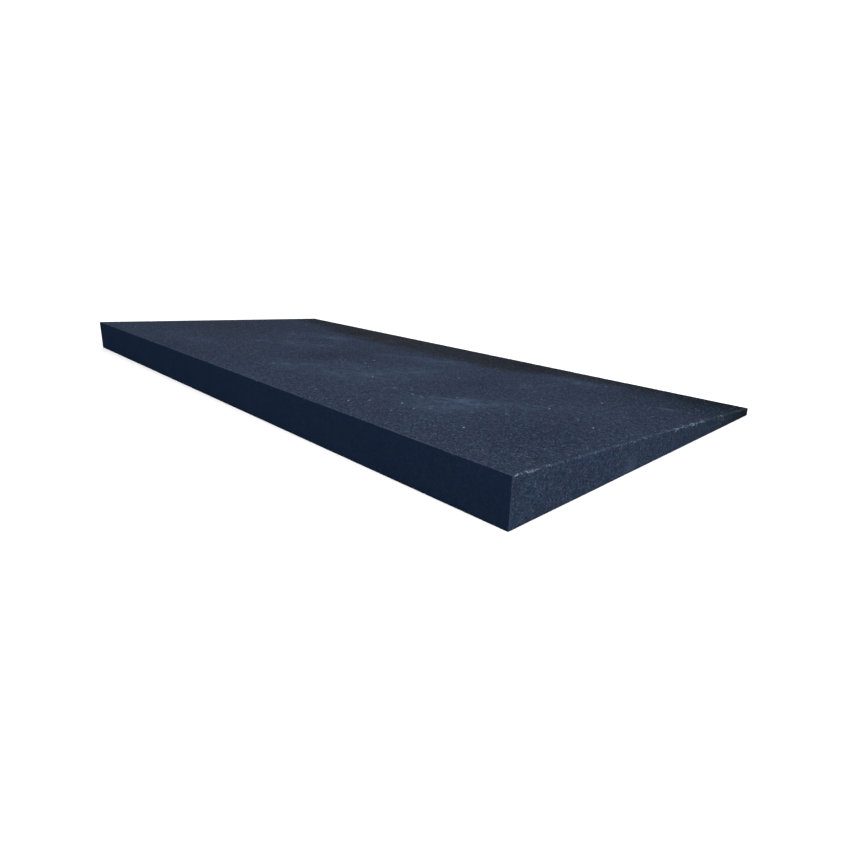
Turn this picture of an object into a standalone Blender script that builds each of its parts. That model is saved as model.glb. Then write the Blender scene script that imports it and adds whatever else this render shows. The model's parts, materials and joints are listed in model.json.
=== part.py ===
"""A granite slab, rectangular in plan, whose flat top slopes from a thick long edge to a thin one.

Metres, +Z up. The origin is the centre of the underside. X runs along the slab's length, and the
thick edge is the face on -Y.
"""

import math

import bmesh
import bpy

# Driving dimensions.
LENGTH = 1.000
DEPTH = 0.500
THICK_EDGE = 0.050  # to the highest line of the top, just behind its eased arris
THIN_EDGE = 0.010
ARRIS = 0.0012  # how far each edge is eased back from the sharp corner
ARRIS_SEGMENTS = 2

TOP_SLOPE = math.atan2(THICK_EDGE - THIN_EDGE, DEPTH)
SHARP_CORNER = THICK_EDGE + ARRIS * math.sin(TOP_SLOPE)  # height before easing

COLLECTION_NAME = "granite_slab_parts"
STONE_COLOUR = (0.022, 0.030, 0.050, 1.0)
STONE_ROUGHNESS = 0.75


def clear_scene():
    for obj in list(bpy.data.objects):
        bpy.data.objects.remove(obj, do_unlink=True)


def stone_material():
    """Dark, matt, blue-grey stone."""
    material = bpy.data.materials.new("granite")
    material.use_nodes = True
    shader = material.node_tree.nodes["Principled BSDF"]
    shader.inputs["Base Color"].default_value = STONE_COLOUR
    shader.inputs["Roughness"].default_value = STONE_ROUGHNESS
    shader.inputs["Metallic"].default_value = 0.0
    return material


def tapered_block(name):
    """A block resting on z = 0, with its top dropped to THIN_EDGE along the +Y side."""
    mesh = bpy.data.meshes.new(name)
    block = bmesh.new()
    bmesh.ops.create_cube(block, size=1.0)
    bmesh.ops.scale(block, vec=(LENGTH, DEPTH, SHARP_CORNER), verts=block.verts)
    bmesh.ops.translate(block, vec=(0.0, 0.0, SHARP_CORNER / 2), verts=block.verts)
    for corner in block.verts:
        on_top = corner.co.z > SHARP_CORNER / 2
        if on_top and corner.co.y > 0:
            corner.co.z = THIN_EDGE
    block.to_mesh(mesh)
    block.free()
    return bpy.data.objects.new(name, mesh)


def ease_arrises(obj):
    """Rounds every edge of the block a little, as a mason does so that it neither cuts nor chips."""
    bevel = obj.modifiers.new("eased_arrises", "BEVEL")
    bevel.width = ARRIS
    bevel.segments = ARRIS_SEGMENTS
    bevel.limit_method = "NONE"
    bevel.harden_normals = False


def main():
    clear_scene()
    parts = bpy.data.collections.new(COLLECTION_NAME)
    bpy.context.scene.collection.children.link(parts)

    base = bpy.data.objects.new("underside_centre", None)
    parts.objects.link(base)

    slab = tapered_block("granite_slab")
    parts.objects.link(slab)
    slab.parent = base
    slab.data.materials.append(stone_material())
    ease_arrises(slab)


main()
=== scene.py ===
"""Looks of the granite slab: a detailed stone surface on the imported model, on a pale studio floor.

Metres, +Z up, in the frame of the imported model. The slab's thick long edge faces -Y, its thin long
edge faces +Y, and its top slopes between them.
"""
import json
import math
import random
from collections import namedtuple

import bmesh
import bpy
import numpy as np
from mathutils import Euler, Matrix, Vector, geometry, noise

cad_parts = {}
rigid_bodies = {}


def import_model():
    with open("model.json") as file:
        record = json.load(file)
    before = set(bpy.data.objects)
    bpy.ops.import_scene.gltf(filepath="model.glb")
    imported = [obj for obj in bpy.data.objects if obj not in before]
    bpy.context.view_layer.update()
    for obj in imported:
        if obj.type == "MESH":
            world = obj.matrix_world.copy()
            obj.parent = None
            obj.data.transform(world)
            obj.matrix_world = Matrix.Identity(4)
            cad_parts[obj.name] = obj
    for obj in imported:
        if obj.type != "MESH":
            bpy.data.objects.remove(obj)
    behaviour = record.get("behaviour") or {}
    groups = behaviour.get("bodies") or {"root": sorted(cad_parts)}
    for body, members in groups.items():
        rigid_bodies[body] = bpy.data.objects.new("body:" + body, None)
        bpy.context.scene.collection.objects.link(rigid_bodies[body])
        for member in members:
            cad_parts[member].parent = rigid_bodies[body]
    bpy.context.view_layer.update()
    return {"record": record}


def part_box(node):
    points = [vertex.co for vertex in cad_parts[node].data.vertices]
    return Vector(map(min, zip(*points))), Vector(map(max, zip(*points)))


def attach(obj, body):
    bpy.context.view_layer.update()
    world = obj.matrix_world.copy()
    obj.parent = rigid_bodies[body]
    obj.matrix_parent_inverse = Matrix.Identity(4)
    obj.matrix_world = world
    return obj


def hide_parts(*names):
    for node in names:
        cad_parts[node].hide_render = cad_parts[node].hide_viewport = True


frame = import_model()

# Sizes from the frame.
LOW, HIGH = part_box("granite_slab")
MOUNTS = {mount["name"]: mount for mount in frame["record"]["mounts"]}
THICK = HIGH.z
THIN = 2 * MOUNTS["thin_edge"]["pos_m"][2]
SLOPE = (THICK - THIN) / (HIGH.y - LOW.y)  # fall of the top for each metre towards +Y

SEED = 7
NOISE_SHIFT = (3.1, 1.7, 2.3)  # moves the noise of the mesh along for each of its seeds

# Mesh of the slab.
ARRIS = 0.0012  # mean radius of the eased edges
ARRIS_WANDER = 0.5  # share of that radius by which it wanders
WANDERS = ((0.030, 0.7), (0.007, 0.3))  # lengths of the waves in that wander, and their shares
BASE_CRISPNESS = 0.4  # share by which the radius is smaller along the underside
END_STEP = 0.00045  # spacing of points along the top arrises of the two ends
LONG_STEP = 0.00075  # the same along the two long top arrises
BASE_STEP = 0.0018  # the same along the arrises of the underside
GROWTH = 0.36  # how fast the spacing grows away from an arris
WIDE_STEP = 0.025  # spacing in the middle of a face
BISECTOR_GAP = 0.4  # share of a step left free where the points of two sides meet
INSIDE_BORDER = 1  # the kind of triangulation that keeps only what is inside the border
SAME_POINT = 1e-7  # points of a face closer than this are one
WELD_DISTANCE = 1e-6  # the same where two faces meet
ON_TOP = 1e-5  # a point this close to the plane of the top is on it
WAVINESS = 0.00012  # height of the unevenness left in the honed top
WAVE_SIZE = 0.09
WAVE_MARGIN = 4 * ARRIS  # width of the strip along the arrises that has no waves
WAVE_FADE = 20 * ARRIS  # distance over which they then grow to their full height
WORN_WIDTH = 1.3 * ARRIS  # how far from an arris the paler line of wear and painted highlight reaches
SHARP_ANGLE = 38  # degrees; a sharper bend is shaded as an edge

# Chips along the top arrises: from and to, in metres along X or Y, how many, and how pale at most.
Chipping = namedtuple("Chipping", "begin stop count pale")
RIGHT_CHIPS = [
    Chipping(-0.246, -0.214, 18, 1.0),
    Chipping(-0.203, -0.178, 9, 0.5),
    Chipping(-0.170, -0.020, 16, 0.30),
    Chipping(-0.010, 0.030, 12, 0.5),
    Chipping(0.032, 0.115, 46, 1.0),
    Chipping(0.164, 0.172, 4, 1.0),
    Chipping(-0.245, 0.245, 130, 0.25),
]
LEFT_CHIPS = [
    Chipping(-0.240, -0.150, 24, 0.8),
    Chipping(0.020, 0.110, 40, 1.0),
    Chipping(-0.245, 0.245, 130, 0.25),
]
FRONT_CHIPS = [
    Chipping(0.305, 0.318, 3, 1.0),
    Chipping(0.140, 0.330, 12, 0.4),
    Chipping(-0.495, 0.495, 90, 0.2),
]
BACK_CHIPS = [
    Chipping(-0.300, -0.120, 40, 0.9),
    Chipping(0.210, 0.330, 40, 0.9),
    Chipping(-0.495, 0.495, 160, 0.3),
]

# Middle size of the chips of each arris.
RIGHT_CHIP_SIZE = 0.0013
LEFT_CHIP_SIZE = 0.0010
FRONT_CHIP_SIZE = 0.0006
BACK_CHIP_SIZE = 0.0011

# Shape of a chip: its half length, half width and depth are shares of its size.
CHIP_LENGTHS = (1.2, 2.8)
CHIP_WIDTHS = (0.45, 0.8)
CHIP_DEPTHS = (0.20, 0.50)
CHIP_SPREAD = 0.45  # spread of the sizes, on a log scale
CHIP_SLIDE = 0.6  # spread of the distance from the arris, in arris radii
CHIP_SINK = 0.35  # how far a chip right on the arris is sunk, in arris radii
CHIP_LEAN = 0.25  # spread of the way it faces
CHIP_TURN = 1.3  # spread of the way its length runs
CHIP_ROUGHNESS = 0.16  # share of its size by which its surface is uneven
CHIP_GRIT = 0.0006  # size of the bumps in that surface
PALE_SKEW = 0.7  # a power; below 1 it makes more of the chips pale
FRESH_DEPTH = 0.00025  # a chip this deep shows bare stone

# Large pale crystals in the top, (x, y), that stand out from the rest.
BRIGHT_CRYSTALS = [
    (0.033, -0.003), (0.047, -0.033), (0.137, -0.093), (0.243, -0.117), (0.273, -0.162),
    (0.245, -0.187), (0.193, 0.021), (0.380, -0.175), (0.450, -0.048), (0.235, -0.210),
    (0.327, 0.190), (0.373, -0.017), (0.387, 0.077), (-0.205, 0.085), (0.000, -0.166),
    (-0.401, 0.032), (-0.421, -0.211),
]
LOOSE_CRYSTALS = 120  # more of them, scattered and fainter
LOOSE_STRENGTHS = (0.08, 0.45)
CRYSTAL_RADIUS = 0.0010
CRYSTAL_PIT = 0.00030  # how far each one is plucked below the surface
PIT_EDGE = 1.3  # where its pit ends, in crystal radii
PIT_FILL = 1.4  # how much steeper than the side of the pit its colour sets in
PIT_RINGS = ((0.45, 6), (0.9, 10), (1.4, 12))  # rings of mesh points: crystal radii, and how many
CRYSTAL_MARGIN = 12 * ARRIS  # least distance of the loose ones from the sides of the slab
CRYSTAL_GAP = 4 * CRYSTAL_RADIUS  # least distance from one to the next

# Stone colours, linear. A mineral makes up the share of the crystals from its stop to the next one.
Mineral = namedtuple("Mineral", "stop colour")
MINERALS = [
    Mineral(0.00, (0.0130, 0.0155, 0.0240)),  # mica
    Mineral(0.20, (0.0230, 0.0268, 0.0460)),  # purplish pyroxene
    Mineral(0.52, (0.0176, 0.0294, 0.0555)),  # blue feldspar
    Mineral(0.88, (0.0365, 0.0500, 0.0760)),  # pale feldspar
]
WARM_TONE, COOL_TONE = (1.055, 0.98, 1.00), (0.95, 1.02, 1.00)  # the grain drifts between these
SAWN_FACE_PAINTED_SHADE = (0.82, 0.88, 0.89)  # painted shade: the sawn faces darker than the honed top, as if upright faces caught less light
THICK_EDGE_PAINTED_SHADE = (0.0040, 0.0090, 0.0220)  # painted shade: the thick edge made dark blue, as if it lay in shade
HAZE_DUST_AND_SHEEN = (0.044, 0.069, 0.113)  # pale colour of polishing haze, stone dust, scuffs and worn arrises, and of the painted sheen on the top and the painted highlight along the arrises
FRACTURE_DARK, FRACTURE_PALE = (0.030, 0.042, 0.062), (0.230, 0.300, 0.370)  # fresh chips
CRYSTAL_COLOUR = (0.31, 0.38, 0.45)  # the large crystals
# painted glints on small crystals
GLINT = (0.080, 0.120, 0.185)
RUST = (0.070, 0.056, 0.040)

# Noise patterns: size of their features, detail, roughness, and then the range of the noise, low to
# high, that gives values from least to most.
Pattern = namedtuple("Pattern", "size detail rough low high least most")
CRYSTAL_SIZE = 0.0013
FLECKS = Pattern(0.35 * CRYSTAL_SIZE, 2.0, 0.5, 0.25, 0.75, 0.72, 1.28)
TONES = Pattern(0.014, 3.0, 0.5, 0.35, 0.65, 0.0, 1.0)
CLUMPS = Pattern(0.006, 3.0, 0.6, 0.30, 0.70, 0.86, 1.14)
MOTTLE = Pattern(0.016, 4.0, 0.7, 0.34, 0.66, 0.15, 1.7)
SWIRL_BENDS = Pattern(0.05, 2.0, 0.5, 0.30, 0.70, -0.010, 0.010)
SWIRL_PARTS = Pattern(0.045, 2.0, 0.5, 0.48, 0.66, 0.0, 1.0)
SPARKLE = Pattern(0.0009, 2.0, 0.5, 0.40, 0.62, 0.0, 1.0)
RUBBING = Pattern(0.016, 3.0, 0.5, 0.35, 0.75, 0.2, 1.0)
KERF = Pattern(0.0022, 2.0, 0.5, 0.30, 0.70, 0.975, 1.025)
RUST_SPECKS = Pattern(0.004, 2.0, 0.5, 0.50, 0.70, 0.0, 0.5)
DUST = Pattern(0.12, 4.0, 0.6, 0.35, 0.75, 0.05, 0.45)
# how much of the thick edge the painted shade covers
THICK_EDGE_SHADE_COVER = Pattern(0.06, 3.0, 0.5, 0.30, 0.70, 0.85, 0.90)

# Ramps over the height of the grain: from and to, and the values there.
HAZE_AND_SHEEN_RAMP = (0.3, 1.7, 0.25, 0.95)
TOP_ROUGHNESS = (0.4, 1.6, 0.62, 0.82)
SAWN_ROUGHNESS = (0.4, 2.4, 0.70, 0.90)
THICK_EDGE_ROUGHNESS = (0.4, 2.4, 0.50, 0.60)

BASE_ROUGHNESS = 0.9
SPECULAR = 0.001  # hardly any, as the white surroundings would put a veil over the dark stone

# Height of the grain of each face in the bump.
TOP_RELIEF = 0.00012
SAWN_RELIEF = 0.00018
BASE_RELIEF = 0.00022
THICK_EDGE_RELIEF = 0.00008

# Saw marks: the noise is scaled by these along X, Y and Z, and the marks run along the small one.
MARKS_ALONG_X = (0.08, 1.0, 1.0)
MARKS_ALONG_Y = (1.0, 0.05, 1.0)
MARKS_ALONG_Z = (1.0, 1.0, 0.08)
KERF_RELIEF = 0.15  # height of the marks against the grain

# How strongly the worn arrises with their painted highlight, and the chips, show.
TOP_WORN = 0.50
SAWN_WORN = 0.15
THICK_EDGE_CHIPS = 0.5

# Painted glints: small crystals that catch the light, drawn into the colour.
GLINT_SIZE = 0.0011
GLINT_SHARE = 0.03
GLINT_STRENGTH = 0.8

# Round marks on the right end: middle, reach, and strength in the middle.
Mark = namedtuple("Mark", "place reach strength")
SCUFF = Mark((HIGH.x, -0.056, 0.004), 0.022, 0.30)
STAIN = Mark((HIGH.x, 0.166, 0.008), 0.018, 1.0)

# Soft oval patches: middle on the top, half length and half width, turn in degrees, and a value.
Patch = namedtuple("Patch", "x y long wide turn value")
PATCH_WANDER = 0.06  # range over which their outlines wander
PATCH_WANDER_SCALE = 14.0  # about how many times they wander in a metre

# Paler patches, partly polishing haze and partly painted sheen, and how much of the stone each one
# covers.
HAZE_AND_SHEEN_PATCHES = [
    Patch(-0.205, 0.092, 0.090, 0.045, 20, 0.60),
    Patch(-0.260, 0.035, 0.085, 0.040, -35, 0.50),
    Patch(-0.165, -0.028, 0.085, 0.042, -20, 0.60),
    Patch(-0.250, -0.170, 0.090, 0.050, 0, 0.35),
    Patch(0.085, 0.095, 0.110, 0.055, 30, 0.60),
    Patch(0.130, -0.030, 0.160, 0.100, 80, 0.45),
    Patch(0.105, -0.115, 0.180, 0.090, 10, 0.45),
    Patch(0.000, -0.160, 0.110, 0.040, -10, 0.45),
    Patch(0.312, -0.095, 0.095, 0.068, 55, 1.15),
    Patch(0.290, -0.160, 0.130, 0.060, 0, 0.30),
    Patch(0.290, 0.175, 0.090, 0.045, 10, 0.55),
    Patch(0.400, 0.020, 0.150, 0.060, 60, 0.20),
    Patch(0.452, 0.123, 0.024, 0.014, 25, 1.60),
]

# Darker or warmer patches, and the colour that each one is multiplied by at its middle.
TINT_PATCHES = [
    # painted shade at the far right corner of the top, by the thin edge
    Patch(0.500, 0.230, 0.340, 0.280, 0, (0.36, 0.46, 0.44)),
    Patch(0.165, 0.215, 0.110, 0.070, 0, (0.70, 0.68, 0.68)),
    Patch(-0.140, 0.195, 0.130, 0.075, 0, (1.48, 1.09, 1.02)),
    Patch(-0.240, 0.170, 0.070, 0.060, 0, (0.86, 0.82, 0.78)),
    Patch(0.440, -0.120, 0.130, 0.170, 0, (0.78, 0.82, 0.86)),
    Patch(-0.030, -0.040, 0.080, 0.180, 0, (0.80, 0.78, 0.80)),
    Patch(-0.190, -0.240, 0.160, 0.060, 0, (0.80, 0.80, 0.82)),
    Patch(-0.400, 0.000, 0.260, 0.340, 0, (0.90, 0.84, 0.80)),
    Patch(0.240, 0.020, 0.080, 0.140, 0, (0.84, 0.84, 0.86)),
]

# The same for the sawn edges.
EDGE_TINT_PATCHES = [
    # painted shade at the back of the right end, by the thin edge
    Patch(0.500, 0.250, 0.200, 0.340, 0, (0.44, 0.50, 0.39)),
    Patch(0.500, -0.120, 0.130, 0.100, 0, (0.96, 0.96, 1.00)),
]

# Painted shade: the darker, browner band along the thin edge.
BAND_PAINTED_SHADE = (0.66, 0.585, 0.465)
BAND_WIDTH = 0.110
BAND_BLUR = 0.035  # half width of its soft border
Narrowing = namedtuple("Narrowing", "begin stop amount")
BAND_NARROWINGS = [Narrowing(0.17, 0.27, 0.065), Narrowing(-0.24, -0.40, 0.050)]  # along X

# Circular marks left by the polishing head: middle, radius, strength.
Swirl = namedtuple("Swirl", "x y radius strength")
SWIRLS = [
    Swirl(-0.165, 0.080, 0.090, 1.0),
    Swirl(-0.210, 0.010, 0.085, 0.7),
    Swirl(0.255, -0.030, 0.095, 1.0),
    Swirl(0.060, 0.010, 0.085, 0.8),
    Swirl(0.090, -0.160, 0.080, 0.6),
    Swirl(0.210, 0.120, 0.085, 0.7),
    Swirl(-0.260, -0.120, 0.080, 0.4),
]
SWIRL_SPACING = 0.0085  # from one ring to the next
SWIRL_WIDTH = 0.022  # how far the rings spread to either side of the radius
SWIRL_CREST = 0.1  # only the part of each wave above this shows
SWIRL_HAZE = 1.3  # strength of the rings against the patches of haze

# Stage.
FLOOR_COLOUR = (0.96, 0.96, 0.96)
FLOOR_ROUGHNESS = 0.9
FLOOR_RADIUS = 30.0
FLOOR_GAP = 0.0001  # between the floor and the underside
WORLD_STRENGTH = 1.15
KEY_PLACE = (2.2, -0.8, 2.0)
KEY_SIZE = 2.0
KEY_POWER = 60.0
CAMERA_PLACE = (0.779, -0.6246, 0.2424)
CAMERA_TURN = (71.970, -0.497, 48.451)  # degrees about X, Y and Z
CAMERA_LENS = 26.41  # millimetres
CAMERA_SENSOR = 36.0  # millimetres
CAMERA_SHIFT = (0.0361, -0.0027)  # shares of the width of the picture
CAMERA_CLIP = 0.01


def top_height(y):
    """Height of the sloping top above the underside; y may be an array."""
    return THICK - SLOPE * (y - LOW.y)


# The slab's mesh ----------------------------------------------------------------------------------


def corner(x, y, on_top):
    return Vector((x, y, top_height(y) if on_top else LOW.z))


def side_outlines():
    """Each face of the slab: its finish and its corners, anticlockwise seen from outside."""
    x0, x1, y0, y1 = LOW.x, HIGH.x, LOW.y, HIGH.y
    front_left, front_right, back_right, back_left = (x0, y0), (x1, y0), (x1, y1), (x0, y1)
    loop = [front_left, front_right, back_right, back_left]
    outlines = [
        ("honed_top", [corner(*place, True) for place in loop]),
        ("sawn_base", [corner(*place, False) for place in reversed(loop)]),
    ]
    for place, following in zip(loop, loop[1:] + loop[:1]):
        finish = "shaded_thick_edge" if place is front_left else "sawn_edge"
        base = [corner(*place, False), corner(*following, False)]
        top = [corner(*following, True), corner(*place, True)]
        outlines.append((finish, base + top))
    return outlines


def arris_step(start, end):
    """Point spacing on the arris between two corners of the slab."""
    if max(start.z, end.z) == LOW.z:
        return BASE_STEP
    return END_STEP if start.x == end.x else LONG_STEP


Side = namedtuple("Side", "start along inward length step")


def flat_sides(outline, corners):
    """The sides of a flat outline, each with the point spacing of its arris."""
    sides = []
    for number, start in enumerate(outline):
        following = (number + 1) % len(outline)
        along = outline[following] - start
        direction = along.normalized()
        inward = Vector((-direction.y, direction.x))
        step = arris_step(corners[number], corners[following])
        sides.append(Side(start, direction, inward, along.length, step))
    return sides


def row_of_points(side, offset, step, stagger):
    """Points on a line parallel to a side, offset inwards from it."""
    count = max(1, round(side.length / step))
    spaced = [side.length * (k + stagger) / count for k in range(count)]
    return [side.start + side.along * s + side.inward * offset for s in spaced]


def graded_points(sides):
    """Points on the border of a convex outline, and points inside it, sparser towards its middle."""
    border, inner = [], []
    for side in sides:
        border += row_of_points(side, 0.0, side.step, 0.0)
        others = [other for other in sides if other is not side]
        offset, stagger = side.step, 0.5
        row = [side.start]
        while row:
            step = min(max(side.step, GROWTH * offset), WIDE_STEP)
            clear = offset + BISECTOR_GAP * step
            row = [
                point for point in row_of_points(side, offset, step, stagger)
                if all((point - other.start).dot(other.inward) > clear for other in others)
            ]
            inner += row
            offset += step
            stagger = 0.5 - stagger
    return border, inner


def pit_points(centre):
    """Extra points for a small round pit: its middle and the rings round it."""
    points = [centre]
    for ring, count in PIT_RINGS:
        for k in range(count):
            angle = math.tau * (k + 0.5 * ring) / count
            spoke = Vector((math.cos(angle), math.sin(angle)))
            points.append(centre + spoke * CRYSTAL_RADIUS * ring)
    return points


def add_side(block, finish_index, corners, pits):
    """Adds one face of the slab to the bmesh as a graded triangle mesh, with points for its pits."""
    origin = corners[0]
    across = (corners[1] - origin).normalized()
    up = across.cross(corners[2] - origin).normalized().cross(across)

    def flatten(point):
        return Vector(((point - origin).dot(across), (point - origin).dot(up)))

    border, inner = graded_points(flat_sides([flatten(c) for c in corners], corners))
    for pit in pits:
        inner += pit_points(flatten(pit))
    ring = [(k, (k + 1) % len(border)) for k in range(len(border))]
    result = geometry.delaunay_2d_cdt(border + inner, ring, [], INSIDE_BORDER, SAME_POINT)
    points, _, triangles, *_ = result
    verts = [block.verts.new(origin + across * p.x + up * p.y) for p in points]
    for triangle in triangles:
        face = block.faces.new([verts[k] for k in triangle])
        face.material_index = finish_index
        face.smooth = True


Crystal = namedtuple("Crystal", "place strength")


def large_crystals(rng):
    """The pale crystals in the top that are large enough to be part of its shape."""
    crystals = [Crystal(Vector((x, y, top_height(y))), 1.0) for x, y in BRIGHT_CRYSTALS]
    while len(crystals) < len(BRIGHT_CRYSTALS) + LOOSE_CRYSTALS:
        x = rng.uniform(LOW.x + CRYSTAL_MARGIN, HIGH.x - CRYSTAL_MARGIN)
        y = rng.uniform(LOW.y + CRYSTAL_MARGIN, HIGH.y - CRYSTAL_MARGIN)
        place = Vector((x, y, top_height(y)))
        if all((place - other.place).length > CRYSTAL_GAP for other in crystals):
            crystals.append(Crystal(place, rng.uniform(*LOOSE_STRENGTHS)))
    return crystals


def sharp_slab(pits):
    """The slab as a closed mesh with sharp arrises, and its finishes in slot order."""
    block = bmesh.new()
    finishes = []
    for finish, corners in side_outlines():
        if finish not in finishes:
            finishes.append(finish)
        add_side(block, finishes.index(finish), corners, pits if finish == "honed_top" else [])
    bmesh.ops.remove_doubles(block, verts=block.verts, dist=WELD_DISTANCE)
    mesh = bpy.data.meshes.new("slab_surface")
    block.to_mesh(mesh)
    block.free()
    return mesh, finishes


def noise_at(points, size, seed):
    """Smooth noise from about -1 to 1 at each point, with features of the given size."""
    shift = Vector(NOISE_SHIFT) * seed
    return np.array([noise.noise(Vector(point) / size + shift) for point in points])


def depth_below_faces(points):
    """Distance of each point below each of the six faces, one row for each face."""
    x, y, z = points.T
    faces = [x - LOW.x, HIGH.x - x, y - LOW.y, HIGH.y - y, z - LOW.z, top_height(y) - z]
    return np.abs(np.stack(faces))


def ease_arrises(points):
    """Rolls each arris over to a radius that wanders a little along it."""
    waves = enumerate(WANDERS, start=1)
    wander = sum(share * noise_at(points, size, seed) for seed, (size, share) in waves)
    x, y, z = points.T[:, :, None]
    crispness = BASE_CRISPNESS * (1 - (z - LOW.z) / (top_height(y) - LOW.z))
    radius = ARRIS * (1 + ARRIS_WANDER * wander[:, None]) * (1 - crispness)
    core = np.concatenate([
        np.clip(x, LOW.x + radius, HIGH.x - radius),
        np.clip(y, LOW.y + radius, HIGH.y - radius),
        np.clip(z, LOW.z + radius, top_height(y) - radius),
    ], axis=1)
    away = points - core
    return core + away * radius / np.linalg.norm(away, axis=1, keepdims=True)


def unevenness(points, arris_distance):
    """The slight waves of the honed top, fading out towards its arrises."""
    on_top = points[:, 2] > top_height(points[:, 1]) - ON_TOP
    fade = np.clip((arris_distance - WAVE_MARGIN) / WAVE_FADE, 0, 1)
    return WAVINESS * noise_at(points, WAVE_SIZE, seed=3) * fade * on_top


def crystal_shares(points, crystals):
    """How far each point belongs to one of the large crystals, and how far it lies in its pit."""
    share = np.zeros(len(points))
    pit = np.zeros(len(points))
    for crystal in crystals:
        distance = np.linalg.norm(points - np.array(crystal.place), axis=1) / CRYSTAL_RADIUS
        inside = np.clip(PIT_EDGE - distance, 0, 1)
        share = np.maximum(share, np.minimum(PIT_FILL * inside, 1) * crystal.strength)
        pit = np.maximum(pit, inside)
    return share, pit


Arris = namedtuple("Arris", "start end side chipping size")
Chip = namedtuple("Chip", "centre axes radii lift pale")


def random_vector(rng, spread):
    return Vector([rng.gauss(0, spread) for _ in range(3)])


def random_chip(rng, arris, chipping):
    """One scoop out of an arris: an ellipsoid whose middle is lifted out of the stone."""
    along = (arris.end - arris.start).normalized()
    size = arris.size * rng.lognormvariate(0.0, CHIP_SPREAD)
    place = (arris.start + arris.end) / 2 + along * rng.uniform(chipping.begin, chipping.stop)
    slide = rng.gauss(0, CHIP_SLIDE) * ARRIS  # onto the top where positive, else down the side
    up = Vector((0, 0, 1))
    lean, inward = (up, arris.side) if slide > 0 else (arris.side, up)
    place -= inward * abs(slide)
    outward = (arris.side + up + lean * abs(slide) / ARRIS).normalized()
    place -= outward * CHIP_SINK * ARRIS * math.exp(-abs(slide) / ARRIS)
    outward = (outward + random_vector(rng, CHIP_LEAN)).normalized()
    lengthwise = along + random_vector(rng, CHIP_TURN)
    lengthwise = (lengthwise - outward * lengthwise.dot(outward)).normalized()
    radii = (size * rng.uniform(*CHIP_LENGTHS), size, size * rng.uniform(*CHIP_WIDTHS))
    depth = size * rng.uniform(*CHIP_DEPTHS)
    axes = (lengthwise, outward, lengthwise.cross(outward))
    return Chip(place, axes, radii, size - depth, chipping.pale * rng.random() ** PALE_SKEW)


def top_arrises():
    x0, x1, y0, y1 = LOW.x, HIGH.x, LOW.y, HIGH.y
    front_left, front_right = corner(x0, y0, True), corner(x1, y0, True)
    back_left, back_right = corner(x0, y1, True), corner(x1, y1, True)
    return [
        Arris(front_right, back_right, Vector((1, 0, 0)), RIGHT_CHIPS, RIGHT_CHIP_SIZE),
        Arris(front_left, back_left, Vector((-1, 0, 0)), LEFT_CHIPS, LEFT_CHIP_SIZE),
        Arris(front_left, front_right, Vector((0, -1, 0)), FRONT_CHIPS, FRONT_CHIP_SIZE),
        Arris(back_left, back_right, Vector((0, 1, 0)), BACK_CHIPS, BACK_CHIP_SIZE),
    ]


def break_chips(points, chips):
    """Scoops the chips out of the points. Returns the points and how freshly broken each one is."""
    broken = np.zeros(len(points))
    for chip in chips:
        centre, axes, radii = np.array(chip.centre), np.array(chip.axes), np.array(chip.radii)
        near = np.flatnonzero(np.abs(points - centre).max(axis=1) < radii.max())
        along, height, across = ((points[near] - centre) @ axes.T).T
        bowl = np.sqrt(np.maximum(1 - (along / radii[0]) ** 2 - (across / radii[2]) ** 2, 0))
        uneven = 1 + CHIP_ROUGHNESS * noise_at(points[near], CHIP_GRIT, seed=4)
        push = np.maximum(height - chip.lift + radii[1] * bowl * uneven, 0)
        points[near] -= push[:, None] * axes[1]
        broken[near] = np.maximum(broken[near], chip.pale * np.clip(push / FRESH_DEPTH, 0, 1))
    return points, broken


def set_attribute(mesh, name, values):
    attribute = mesh.attributes.new(name, "FLOAT", "POINT")
    attribute.data.foreach_set("value", values.astype(np.float32))


def slab_piece():
    """Builds the detailed slab, which stands in for the plain solid."""
    rng = random.Random(SEED)
    crystals = large_crystals(rng)
    mesh, finishes = sharp_slab([crystal.place for crystal in crystals])
    points = np.empty(len(mesh.vertices) * 3)
    mesh.vertices.foreach_get("co", points)
    points = points.reshape(-1, 3)

    arris_distance = np.sort(depth_below_faces(points), axis=0)[1]
    crystal, pit = crystal_shares(points, crystals)
    eased = ease_arrises(points)
    eased[:, 2] += unevenness(points, arris_distance) - CRYSTAL_PIT * pit
    chips = [
        random_chip(rng, arris, chipping)
        for arris in top_arrises()
        for chipping in arris.chipping
        for _ in range(chipping.count)
    ]
    eased, broken = break_chips(eased, chips)

    mesh.vertices.foreach_set("co", eased.ravel())
    set_attribute(mesh, "broken", broken)
    set_attribute(mesh, "crystal", crystal)
    # nearness to an arris, for the paler line of wear and painted highlight
    set_attribute(mesh, "worn", np.exp(-(arris_distance / WORN_WIDTH) ** 2))
    mesh.set_sharp_from_angle(angle=math.radians(SHARP_ANGLE))
    mesh.update()
    for finish in finishes:
        mesh.materials.append(FINISHES[finish](finish))
    slab = bpy.data.objects.new("slab_stone", mesh)
    bpy.context.scene.collection.objects.link(slab)
    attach(slab, "root")
    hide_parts("granite_slab")


# Materials ----------------------------------------------------------------------------------------


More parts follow.
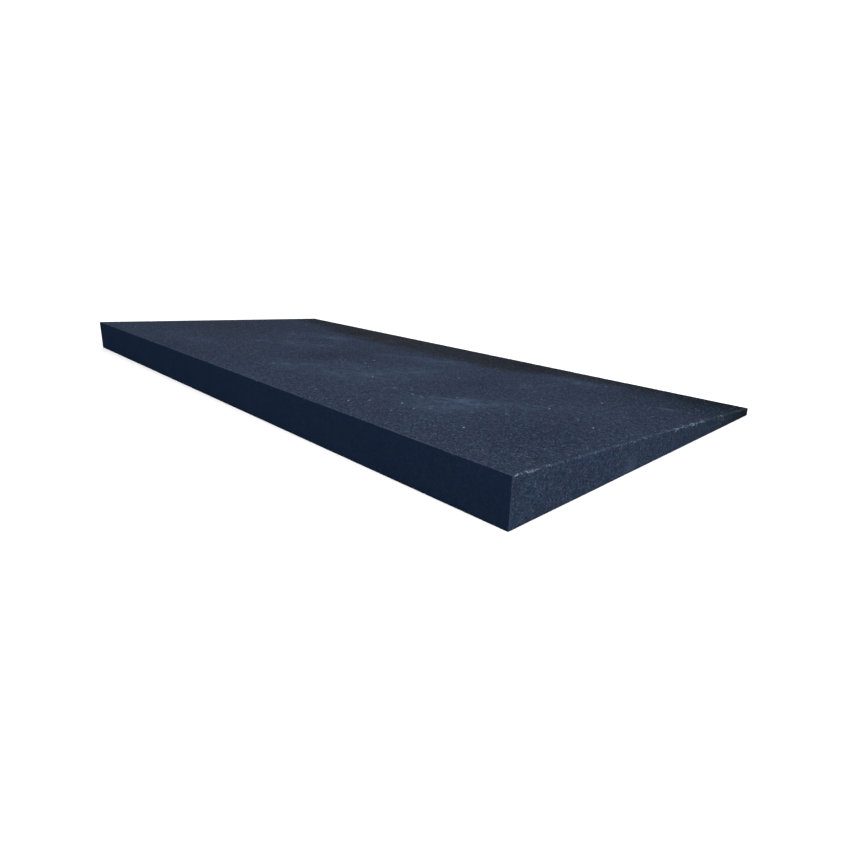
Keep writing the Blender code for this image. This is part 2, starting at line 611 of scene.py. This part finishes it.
class Recipe:
    """Builds one material's nodes. Most methods add a node or two and return an output."""

    def __init__(self, name):
        self.material = bpy.data.materials.new(name)
        self.material.use_nodes = True
        self.tree = self.material.node_tree
        self.shader = self.tree.nodes["Principled BSDF"]
        self.place = self.tree.nodes.new("ShaderNodeTexCoord").outputs["Object"]

    def node(self, kind, inputs, **settings):
        """Adds a node, with a value or a linked output for each named or numbered input."""
        node = self.tree.nodes.new("ShaderNode" + kind)
        for name, value in settings.items():
            setattr(node, name, value)
        for name, value in inputs.items():
            self.feed(node.inputs[name], value)
        return node

    def feed(self, socket, value):
        if isinstance(value, bpy.types.NodeSocket):
            self.tree.links.new(value, socket)
        else:
            socket.default_value = value

    def shade(self, **inputs):
        """Sets the shader's own inputs, named with underscores for spaces."""
        for name, value in inputs.items():
            self.feed(self.shader.inputs[name.replace("_", " ")], value)

    def math(self, operation, a, b=0.0):
        return self.node("Math", {0: a, 1: b}, operation=operation).outputs[0]

    def vector(self, operation, a, b):
        return self.node("VectorMath", {0: a, 1: b}, operation=operation).outputs[0]

    def span(self, value, low, high, to_low=0.0, to_high=1.0):
        """Maps low..high smoothly onto to_low..to_high, and holds the ends."""
        inputs = {0: value, 1: low, 2: high, 3: to_low, 4: to_high}
        return self.node("MapRange", inputs, interpolation_type="SMOOTHSTEP").outputs[0]

    def mix(self, share, a, b, blend="MIX"):
        """Mixes two colours, each an output or a plain (r, g, b)."""
        a, b = (c if isinstance(c, bpy.types.NodeSocket) else (*c, 1.0) for c in (a, b))
        inputs = {0: share, 6: a, 7: b}
        return self.node("Mix", inputs, data_type="RGBA", blend_type=blend).outputs[2]

    def multiply(self, colour, tint):
        return self.mix(1.0, colour, tint, "MULTIPLY")

    def scale(self, colour, value):
        """Multiplies a colour by a plain value."""
        grey = self.node("CombineColor", {0: value, 1: value, 2: value}).outputs[0]
        return self.multiply(colour, grey)

    def noise(self, pattern, place=None):
        """The plain noise of a pattern, from 0 to 1."""
        inputs = {
            "Vector": place or self.place,
            "Scale": 1 / pattern.size,
            "Detail": pattern.detail,
            "Roughness": pattern.rough,
        }
        return self.node("TexNoise", inputs).outputs[0]

    def spread(self, noise, pattern, strength=1.0):
        """Turns a pattern's noise into its values from least to most, times the strength."""
        least, most = pattern.least * strength, pattern.most * strength
        return self.span(noise, pattern.low, pattern.high, least, most)

    def values(self, pattern, strength=1.0):
        """A pattern's values over the slab, times the strength."""
        return self.spread(self.noise(pattern), pattern, strength)

    def cells(self, size):
        """A random colour for each of the cells of about the given size."""
        inputs = {"Vector": self.place, "Scale": 1 / size}
        return self.node("TexVoronoi", inputs).outputs["Color"]

    def channel(self, colour, number):
        return self.node("SeparateColor", {0: colour}).outputs[number]

    def coordinate(self, axis, place):
        return self.node("SeparateXYZ", {0: place}).outputs[axis]

    def attribute(self, name):
        return self.node("Attribute", {}, attribute_name=name).outputs["Fac"]

    def bump(self, height, distance):
        return self.node("Bump", {"Height": height, "Distance": distance}).outputs[0]

    def pick(self, value, minerals):
        """The colour of the last mineral whose stop the value has passed."""
        node = self.node("ValToRGB", {0: value})
        node.color_ramp.interpolation = "CONSTANT"
        elements = node.color_ramp.elements
        while len(elements) < len(minerals):
            elements.new(1.0)
        for element, mineral in zip(elements, minerals):
            element.position = mineral.stop
            element.color = (*mineral.colour, 1.0)
        return node.outputs[0]

    def distance_from(self, point):
        inputs = {0: self.place, 1: point}
        return self.node("VectorMath", inputs, operation="DISTANCE").outputs["Value"]

    def glow(self, mark):
        """A mark's strength at its middle, falling smoothly to 0 at its reach."""
        return self.span(self.distance_from(mark.place), mark.reach, 0.0, 0.0, mark.strength)


def grain(recipe):
    """The crystals that the whole slab is made of: their colour, and a height for the bump."""
    cells = recipe.cells(CRYSTAL_SIZE)
    flecks = recipe.noise(FLECKS)
    colour = recipe.pick(recipe.channel(cells, 0), MINERALS)
    colour = recipe.scale(colour, recipe.spread(flecks, FLECKS))
    colour = recipe.multiply(colour, recipe.mix(recipe.values(TONES), WARM_TONE, COOL_TONE))
    colour = recipe.scale(colour, recipe.values(CLUMPS))
    return colour, recipe.math("ADD", flecks, recipe.channel(cells, 1))


def wandering_place(recipe):
    """The place on the slab shifted by slow noise, so that what is drawn there has uneven outlines."""
    inputs = {"Vector": recipe.place, "Scale": PATCH_WANDER_SCALE, "Detail": 2.0}
    drift = recipe.node("TexNoise", inputs).outputs["Color"]
    shift = recipe.vector("SUBTRACT", drift, (0.5, 0.5, 0.5))  # the noise is 0.5 on average
    shift = recipe.vector("MULTIPLY", shift, (PATCH_WANDER, PATCH_WANDER, 0.0))
    return recipe.vector("ADD", recipe.place, shift)


def patch_glow(recipe, place, patch):
    """1 in the middle of an oval patch, falling smoothly to 0 at its outline."""
    inputs = {
        "Vector": place,
        "Location": (patch.x, patch.y, top_height(patch.y)),
        "Rotation": (0, 0, math.radians(patch.turn)),
        "Scale": (patch.long, patch.wide, patch.wide),
    }
    local = recipe.node("Mapping", inputs, vector_type="TEXTURE").outputs[0]
    return recipe.node("TexGradient", {0: local}, gradient_type="QUADRATIC_SPHERE").outputs[1]


def tinted_and_shaded(recipe, colour, patches):
    """Tints the patches, some of them painted shade, and paints shade as a darker, browner band along
    the thin edge.
    """
    place = wandering_place(recipe)
    for patch in patches:
        tint = recipe.mix(patch_glow(recipe, place, patch), (1, 1, 1), patch.value)
        colour = recipe.multiply(colour, tint)
    x, y = recipe.coordinate("X", place), recipe.coordinate("Y", place)
    cuts = [recipe.span(x, part.begin, part.stop, 0.0, part.amount) for part in BAND_NARROWINGS]
    y = recipe.math("SUBTRACT", y, recipe.math("ADD", *cuts))
    border = HIGH.y - BAND_WIDTH
    band = recipe.span(y, border - BAND_BLUR, border + BAND_BLUR)
    # painted shade along the thin edge
    return recipe.multiply(colour, recipe.mix(band, (1, 1, 1), BAND_PAINTED_SHADE))


def haze_and_sheen_share(recipe):
    """How strongly polishing haze and painted sheen cover the stone: soft patches, broken up by noise.
    """
    place = wandering_place(recipe)
    total = 0.0
    for patch in HAZE_AND_SHEEN_PATCHES:
        glow = recipe.math("MULTIPLY", patch_glow(recipe, place, patch), patch.value)
        total = recipe.math("ADD", total, glow)
    return recipe.math("MULTIPLY", total, recipe.values(MOTTLE))


def swirl_share(recipe):
    """Faint rings where the polishing head dwelt, each shown only in part."""
    bend = recipe.values(SWIRL_BENDS)
    total = 0.0
    for swirl in SWIRLS:
        reach = recipe.distance_from((swirl.x, swirl.y, top_height(swirl.y)))
        reach = recipe.math("ADD", reach, bend)
        wave = recipe.math("SINE", recipe.math("MULTIPLY", reach, math.tau / SWIRL_SPACING))
        off_line = recipe.math("ABSOLUTE", recipe.math("SUBTRACT", reach, swirl.radius))
        line = recipe.span(off_line, SWIRL_WIDTH, 0.0, 0.0, swirl.strength)
        rings = recipe.math("MULTIPLY", recipe.span(wave, SWIRL_CREST, 1.0), line)
        total = recipe.math("ADD", total, rings)
    return recipe.math("MULTIPLY", total, recipe.values(SWIRL_PARTS))


def fractures(recipe, colour, share):
    """Covers a share of the surface with bare broken crystals, pale and dark."""
    bare = recipe.mix(recipe.values(SPARKLE), FRACTURE_DARK, FRACTURE_PALE)
    return recipe.mix(share, colour, bare)


def worn_and_highlit_arris(recipe, colour, strength):
    """A thin paler line along each arris, partly wear and partly painted highlight where the arris
    catches the light, rubbed bright in places.
    """
    rubbed = recipe.values(RUBBING, strength)
    return recipe.mix(recipe.math("MULTIPLY", recipe.attribute("worn"), rubbed), colour, HAZE_DUST_AND_SHEEN)


def honed_top(name):
    """The sloping top: hazy and swirled from polishing, with painted sheen in the haze, painted
    glints, large pale crystals and painted shade by the thin edge.
    """
    recipe = Recipe(name)
    colour, height = grain(recipe)
    haze = haze_and_sheen_share(recipe)
    haze = recipe.math("ADD", haze, recipe.math("MULTIPLY", swirl_share(recipe), SWIRL_HAZE))
    haze = recipe.math("MULTIPLY", haze, recipe.span(height, *HAZE_AND_SHEEN_RAMP))
    # polishing haze with painted sheen, mixed into the colour
    colour = recipe.mix(haze, colour, HAZE_DUST_AND_SHEEN)
    colour = tinted_and_shaded(recipe, colour, TINT_PATCHES)
    glint = recipe.channel(recipe.cells(GLINT_SIZE), 2)
    glint = recipe.span(glint, 1 - GLINT_SHARE, 1.0, 0.0, GLINT_STRENGTH)
    # painted glints
    colour = recipe.mix(glint, colour, GLINT)
    colour = worn_and_highlit_arris(recipe, colour, TOP_WORN)
    colour = recipe.mix(recipe.attribute("crystal"), colour, CRYSTAL_COLOUR)
    colour = fractures(recipe, colour, recipe.attribute("broken"))
    recipe.shade(
        Base_Color=colour,
        Roughness=recipe.span(height, *TOP_ROUGHNESS),
        Specular_IOR_Level=SPECULAR,
        Normal=recipe.bump(height, TOP_RELIEF),
    )
    return recipe.material


def sawn_stone(recipe, marks):
    """Grain with the shallow marks of the saw, darkened by painted shade: their colour, and a height
    for the bump.
    """
    colour, height = grain(recipe)
    # painted shade: the sides and underside darker than the top
    colour = recipe.multiply(colour, SAWN_FACE_PAINTED_SHADE)
    kerf = recipe.noise(KERF, recipe.vector("MULTIPLY", recipe.place, marks))
    colour = recipe.scale(colour, recipe.spread(kerf, KERF))
    return colour, recipe.math("ADD", height, recipe.math("MULTIPLY", kerf, KERF_RELIEF))


def sawn_edge(name):
    """The two ends and the thin edge, with painted shade at the back of the right end, and a scuff and
    a rust stain on the right end.
    """
    recipe = Recipe(name)
    colour, height = sawn_stone(recipe, MARKS_ALONG_Z)
    colour = recipe.mix(recipe.glow(SCUFF), colour, HAZE_DUST_AND_SHEEN)
    colour = tinted_and_shaded(recipe, colour, EDGE_TINT_PATCHES)
    stain = recipe.math("MULTIPLY", recipe.glow(STAIN), recipe.values(RUST_SPECKS))
    colour = recipe.mix(stain, colour, RUST)
    colour = worn_and_highlit_arris(recipe, colour, SAWN_WORN)
    colour = fractures(recipe, colour, recipe.attribute("broken"))
    recipe.shade(
        Base_Color=colour,
        Roughness=recipe.span(height, *SAWN_ROUGHNESS),
        Specular_IOR_Level=SPECULAR,
        Normal=recipe.bump(height, SAWN_RELIEF),
    )
    return recipe.material


def sawn_base(name):
    """The underside, with stone dust on it."""
    recipe = Recipe(name)
    colour, height = sawn_stone(recipe, MARKS_ALONG_Y)
    colour = recipe.mix(recipe.values(DUST), colour, HAZE_DUST_AND_SHEEN)
    recipe.shade(
        Base_Color=colour,
        Roughness=BASE_ROUGHNESS,
        Specular_IOR_Level=SPECULAR,
        Normal=recipe.bump(height, BASE_RELIEF),
    )
    return recipe.material


def shaded_thick_edge(name):
    """The thick edge, where dark painted shade hides most of the grain and of the saw marks."""
    recipe = Recipe(name)
    colour, height = sawn_stone(recipe, MARKS_ALONG_X)
    # painted shade: the thick edge made dark blue, as if it lay in shade
    colour = recipe.mix(recipe.values(THICK_EDGE_SHADE_COVER), colour, THICK_EDGE_PAINTED_SHADE)
    chipped = recipe.math("MULTIPLY", recipe.attribute("broken"), THICK_EDGE_CHIPS)
    colour = fractures(recipe, colour, chipped)
    recipe.shade(
        Base_Color=colour,
        Roughness=recipe.span(height, *THICK_EDGE_ROUGHNESS),
        Specular_IOR_Level=0.0,
        Normal=recipe.bump(height, THICK_EDGE_RELIEF),
    )
    return recipe.material


FINISHES = {
    "honed_top": honed_top,
    "sawn_base": sawn_base,
    "shaded_thick_edge": shaded_thick_edge,
    "sawn_edge": sawn_edge,
}


# Stage --------------------------------------------------------------------------------------------


def floor():
    """A wide pale disc just below the slab."""
    mesh = bpy.data.meshes.new("floor")
    disc = bmesh.new()
    bmesh.ops.create_circle(disc, cap_ends=True, segments=96, radius=FLOOR_RADIUS)
    disc.to_mesh(mesh)
    disc.free()
    obj = bpy.data.objects.new("floor", mesh)
    obj.location.z = LOW.z - FLOOR_GAP
    bpy.context.scene.collection.objects.link(obj)
    material = bpy.data.materials.new("pale_floor")
    material.use_nodes = True
    shader = material.node_tree.nodes["Principled BSDF"]
    shader.inputs["Base Color"].default_value = (*FLOOR_COLOUR, 1.0)
    shader.inputs["Roughness"].default_value = FLOOR_ROUGHNESS
    shader.inputs["Specular IOR Level"].default_value = 0.0
    mesh.materials.append(material)


def key_light():
    """A square softbox that points at the middle of the slab."""
    light = bpy.data.lights.new("key", "AREA")
    light.shape = "SQUARE"
    light.size = KEY_SIZE
    light.energy = KEY_POWER
    obj = bpy.data.objects.new("key", light)
    obj.location = KEY_PLACE
    obj.rotation_euler = (-obj.location).to_track_quat("-Z", "Y").to_euler()
    bpy.context.scene.collection.objects.link(obj)


def white_surroundings():
    world = bpy.data.worlds.new("studio")
    world.use_nodes = True
    background = world.node_tree.nodes["Background"]
    background.inputs["Color"].default_value = (1.0, 1.0, 1.0, 1.0)
    background.inputs["Strength"].default_value = WORLD_STRENGTH
    bpy.context.scene.world = world


def main_camera():
    """The camera of the main view: from the right, low, and in front of the thick edge."""
    data = bpy.data.cameras.new("camera")
    data.sensor_width = CAMERA_SENSOR
    data.lens = CAMERA_LENS
    data.shift_x, data.shift_y = CAMERA_SHIFT
    data.clip_start = CAMERA_CLIP
    camera = bpy.data.objects.new("camera", data)
    camera.location = CAMERA_PLACE
    camera.rotation_euler = Euler([math.radians(angle) for angle in CAMERA_TURN])
    bpy.context.scene.collection.objects.link(camera)
    bpy.context.scene.camera = camera


def clear_defaults():
    for obj in list(bpy.data.objects):
        if obj.type in {"CAMERA", "LIGHT"} or obj.name == "Cube":
            bpy.data.objects.remove(obj, do_unlink=True)


clear_defaults()
slab_piece()
floor()
white_surroundings()
key_light()
main_camera()
bpy.context.scene.view_settings.view_transform = "Standard"
